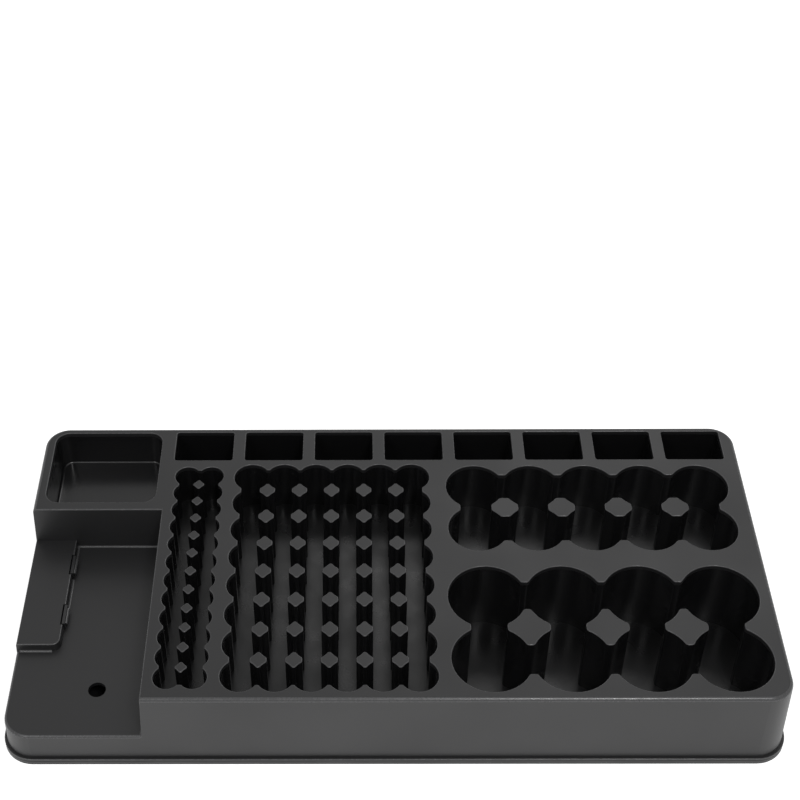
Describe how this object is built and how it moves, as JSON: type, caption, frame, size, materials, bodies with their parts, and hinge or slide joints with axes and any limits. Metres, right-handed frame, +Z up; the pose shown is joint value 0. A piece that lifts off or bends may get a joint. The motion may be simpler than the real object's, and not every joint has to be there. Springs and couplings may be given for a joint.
{
  "type": "battery storage drawer case",
  "caption": "Open black moulded tray that stores loose battery cells upright in scalloped wells, with slots, a small parts bin and a tester bay with two snap fingers.",
  "frame": {"origin": "centre of the base on the table, under the middle of the tray", "axes": "+X along the long side towards the D wells, +Y to the back where the 9 V slots are, +Z up"},
  "size_m": [0.3416, 0.169, 0.0424],
  "materials": {
    "tray_plastic": "matt, fine texture",
    "well_plastic": "smooth mould finish",
    "pan_plastic": "matt",
    "screw_steel": "bright zinc"
  },
  "bodies": {
    "tray": {"tray_shell": "tray_plastic", "bin_cup": "well_plastic", "tester_block": "tray_plastic", "aaa_well": "well_plastic", "aaa_posts": "tray_plastic", "aa_well": "well_plastic", "aa_posts": "tray_plastic", "c_well": "well_plastic", "c_posts": "tray_plastic", "d_well": "well_plastic", "d_posts": "tray_plastic", "nine_volt_cup_1": "well_plastic", "nine_volt_cup_2": "well_plastic", "nine_volt_cup_3": "well_plastic", "nine_volt_cup_4": "well_plastic", "nine_volt_cup_5": "well_plastic", "nine_volt_cup_6": "well_plastic", "nine_volt_cup_7": "well_plastic", "nine_volt_cup_8": "well_plastic", "base_pan": "pan_plastic", "base_screws": "screw_steel"},
    "finger_rear": {"snap_finger_rear": "tray_plastic"},
    "finger_front": {"snap_finger_front": "tray_plastic"}
  },
  "joints": [
    {"name": "rear_finger_flex", "type": "hinge", "parent": "tray", "child": "finger_rear", "pos_m": [-0.1491, 0.0109, 0.0179], "axis": [0, 1, 0], "range_deg": [-6, 0], "stiffness_Nm_per_rad": 0.5},
    {"name": "front_finger_flex", "type": "hinge", "parent": "tray", "child": "finger_front", "pos_m": [-0.1491, -0.0189, 0.0179], "axis": [0, 1, 0], "range_deg": [-6, 0], "stiffness_Nm_per_rad": 0.5}
  ]
}
